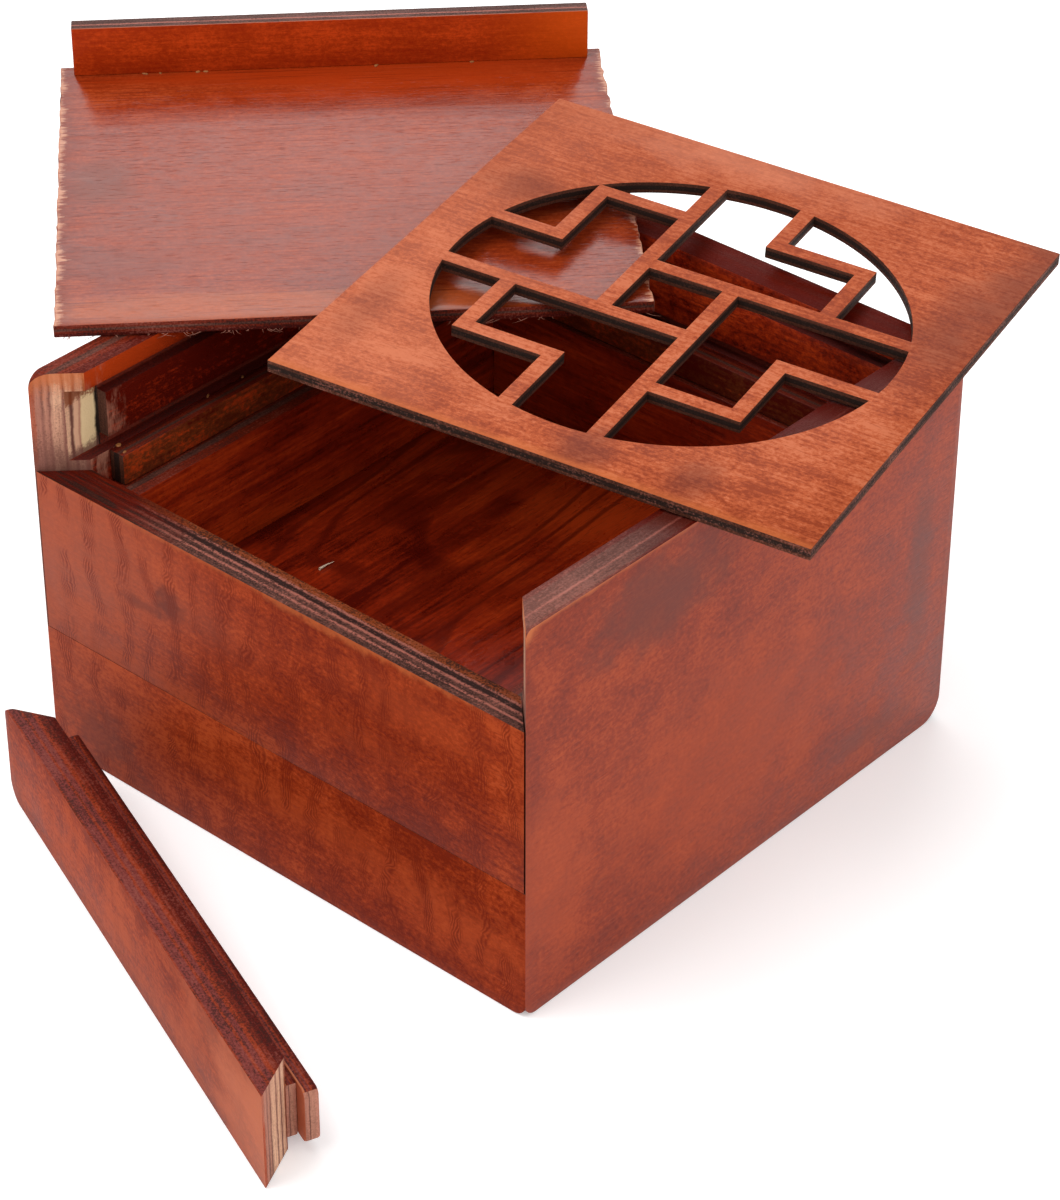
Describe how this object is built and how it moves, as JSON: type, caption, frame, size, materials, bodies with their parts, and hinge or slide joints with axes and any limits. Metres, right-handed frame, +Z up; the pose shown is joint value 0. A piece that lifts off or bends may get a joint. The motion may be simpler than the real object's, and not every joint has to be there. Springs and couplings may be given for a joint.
{
  "type": "wooden puzzle box",
  "caption": "Square mitred plywood puzzle box with a sliding tray, a key bar, a fenced sliding lid and a round-window fretwork top panel, shown opened.",
  "frame": {"origin": "centre of the box's underside", "axes": "+Z up; -Y is the front, where the tray slides out; +X to the right seen from the front"},
  "size_m": [0.2757, 0.278, 0.12],
  "materials": {
    "box_wood": "red-brown stained veneer, satin lacquer",
    "inner_wood": "dark red-brown lacquered plywood",
    "key_wood": "red-brown stained plywood, dusty satin, raw mitred ends",
    "lid_wood": "red-brown lacquered thin plywood",
    "fret_wood": "orange-brown matt plywood with burnt laser-cut edges"
  },
  "bodies": {
    "box": {"left_wall": "box_wood", "right_wall": "box_wood", "back_wall": "box_wood", "front_rail": "box_wood", "base_board": "inner_wood", "ledge_left": "inner_wood", "ledge_right": "inner_wood", "ledge_back": "inner_wood", "runner_left": "inner_wood", "runner_right": "inner_wood"},
    "tray": {"tray_front": "box_wood", "tray_left_side": "inner_wood", "tray_right_side": "inner_wood", "tray_back": "inner_wood", "tray_floor": "inner_wood"},
    "key_bar": {"key_bar_face": "key_wood", "key_bar_neck": "key_wood", "key_bar_tongue": "key_wood"},
    "lid": {"lid_panel": "lid_wood", "lid_fence": "lid_wood"},
    "lattice": {"lattice_panel": "fret_wood"}
  },
  "joints": [
    {"name": "tray_slide", "type": "slide", "parent": "box", "child": "tray", "axis": [0, -1, 0], "range_m": [0, 0.12]},
    {"name": "key_bar_lift", "type": "slide", "parent": "box", "child": "key_bar", "axis": [0, 0, 1], "range_m": [0, 0.1]},
    {"name": "lid_slide", "type": "slide", "parent": "box", "child": "lid", "axis": [-0.7254, 0.6884, 0], "range_m": [0, 0.11]},
    {"name": "lattice_lift", "type": "slide", "parent": "box", "child": "lattice", "axis": [0, 0, 1], "range_m": [0, 0.08]}
  ]
}
